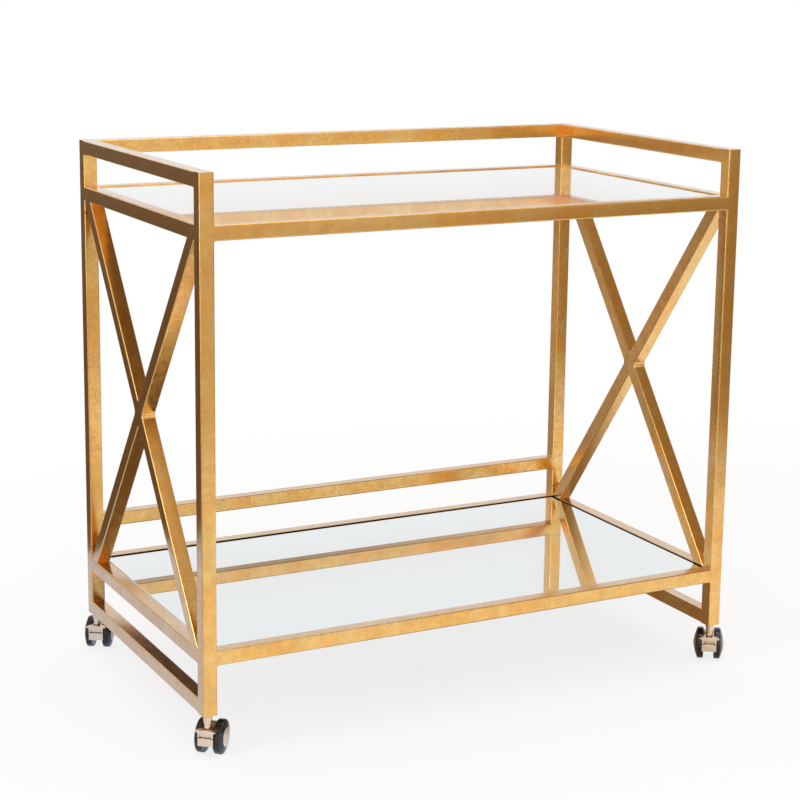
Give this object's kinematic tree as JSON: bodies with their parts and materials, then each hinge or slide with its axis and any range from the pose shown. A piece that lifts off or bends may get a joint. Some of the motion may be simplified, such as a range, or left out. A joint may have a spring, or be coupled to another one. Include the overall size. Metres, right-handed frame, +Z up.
{
  "type": "bar cart",
  "caption": "Rolling bar cart with a square-tube frame, mirrored shelves, X-braced sides, a gallery rail round the top shelf, a guard rail behind the lower one and twin-wheel casters.",
  "frame": {"origin": "on the floor, in the middle of the floor space that the whole cart covers, wheels included", "axes": "+X to the right along the longest side, +Y to the back along the shortest side, +Z up"},
  "size_m": [0.9516, 0.5557, 0.851],
  "materials": {
    "frame": "gold leaf, satin, mottled",
    "mirror": "clear mirror glass with eased edges",
    "board": "plain backing board",
    "yoke": "cast, satin",
    "hub_cap": "pressed, satin",
    "axle": "ground",
    "wheel": "moulded black, half gloss"
  },
  "bodies": {
    "frame": {"front_left_post": "frame", "front_right_post": "frame", "back_left_post": "frame", "back_right_post": "frame", "post_cap_plates": "frame", "gallery_rail_left": "frame", "gallery_rail_right": "frame", "gallery_rail_back": "frame", "upper_rail_front": "frame", "upper_rail_back": "frame", "upper_rail_left": "frame", "upper_rail_right": "frame", "lower_rail_front": "frame", "lower_rail_back": "frame", "lower_rail_left": "frame", "lower_rail_right": "frame", "guard_rail": "frame", "base_rail_left": "frame", "base_rail_right": "frame", "left_brace_long": "frame", "left_brace_upper": "frame", "left_brace_lower": "frame", "right_brace_long": "frame", "right_brace_upper": "frame", "right_brace_lower": "frame", "upper_ledges": "frame", "lower_ledges": "frame", "upper_board": "board", "lower_board": "board", "upper_mirror": "mirror", "lower_mirror": "mirror", "caster_sockets": "frame"},
    "front_left_caster": {"front_left_stem": "yoke", "front_left_yoke": "yoke", "front_left_axle": "axle"},
    "front_left_roller_a": {"front_left_wheel_a": "wheel", "front_left_hub_cap_a": "hub_cap"},
    "front_left_roller_b": {"front_left_wheel_b": "wheel", "front_left_hub_cap_b": "hub_cap"},
    "front_right_caster": {"front_right_stem": "yoke", "front_right_yoke": "yoke", "front_right_axle": "axle"},
    "front_right_roller_a": {"front_right_wheel_a": "wheel", "front_right_hub_cap_a": "hub_cap"},
    "front_right_roller_b": {"front_right_wheel_b": "wheel", "front_right_hub_cap_b": "hub_cap"},
    "back_left_caster": {"back_left_stem": "yoke", "back_left_yoke": "yoke", "back_left_axle": "axle"},
    "back_left_roller_a": {"back_left_wheel_a": "wheel", "back_left_hub_cap_a": "hub_cap"},
    "back_left_roller_b": {"back_left_wheel_b": "wheel", "back_left_hub_cap_b": "hub_cap"},
    "back_right_caster": {"back_right_stem": "yoke", "back_right_yoke": "yoke", "back_right_axle": "axle"},
    "back_right_roller_a": {"back_right_wheel_a": "wheel", "back_right_hub_cap_a": "hub_cap"},
    "back_right_roller_b": {"back_right_wheel_b": "wheel", "back_right_hub_cap_b": "hub_cap"}
  },
  "joints": [
    {"name": "front_left_swivel", "type": "hinge", "parent": "frame", "child": "front_left_caster", "pos_m": [-0.45641, -0.2597, 0.066], "axis": [0, 0, 1], "continuous": true},
    {"name": "front_left_roll_a", "type": "hinge", "parent": "front_left_caster", "child": "front_left_roller_a", "pos_m": [-0.44403, -0.24596, 0.0258], "axis": [0.7431, -0.6691, 0], "continuous": true},
    {"name": "front_left_roll_b", "type": "hinge", "parent": "front_left_caster", "child": "front_left_roller_b", "pos_m": [-0.44403, -0.24596, 0.0258], "axis": [0.7431, -0.6691, 0], "continuous": true},
    {"name": "front_right_swivel", "type": "hinge", "parent": "frame", "child": "front_right_caster", "pos_m": [0.43539, -0.2597, 0.066], "axis": [0, 0, 1], "continuous": true},
    {"name": "front_right_roll_a", "type": "hinge", "parent": "front_right_caster", "child": "front_right_roller_a", "pos_m": [0.446, -0.24455, 0.0258], "axis": [0.8192, -0.5736, 0], "continuous": true},
    {"name": "front_right_roll_b", "type": "hinge", "parent": "front_right_caster", "child": "front_right_roller_b", "pos_m": [0.446, -0.24455, 0.0258], "axis": [0.8192, -0.5736, 0], "continuous": true},
    {"name": "back_left_swivel", "type": "hinge", "parent": "frame", "child": "back_left_caster", "pos_m": [-0.45641, 0.2301, 0.066], "axis": [0, 0, 1], "continuous": true},
    {"name": "back_left_roll_a", "type": "hinge", "parent": "back_left_caster", "child": "back_left_roller_a", "pos_m": [-0.4466, 0.24578, 0.0258], "axis": [0.848, -0.5299, 0], "continuous": true},
    {"name": "back_left_roll_b", "type": "hinge", "parent": "back_left_caster", "child": "back_left_roller_b", "pos_m": [-0.4466, 0.24578, 0.0258], "axis": [0.848, -0.5299, 0], "continuous": true},
    {"name": "back_right_swivel", "type": "hinge", "parent": "frame", "child": "back_right_caster", "pos_m": [0.43539, 0.2301, 0.066], "axis": [0, 0, 1], "continuous": true},
    {"name": "back_right_roll_a", "type": "hinge", "parent": "back_right_caster", "child": "back_right_roller_a", "pos_m": [0.446, 0.24525, 0.0258], "axis": [0.8192, -0.5736, 0], "continuous": true},
    {"name": "back_right_roll_b", "type": "hinge", "parent": "back_right_caster", "child": "back_right_roller_b", "pos_m": [0.446, 0.24525, 0.0258], "axis": [0.8192, -0.5736, 0], "continuous": true}
  ]
}
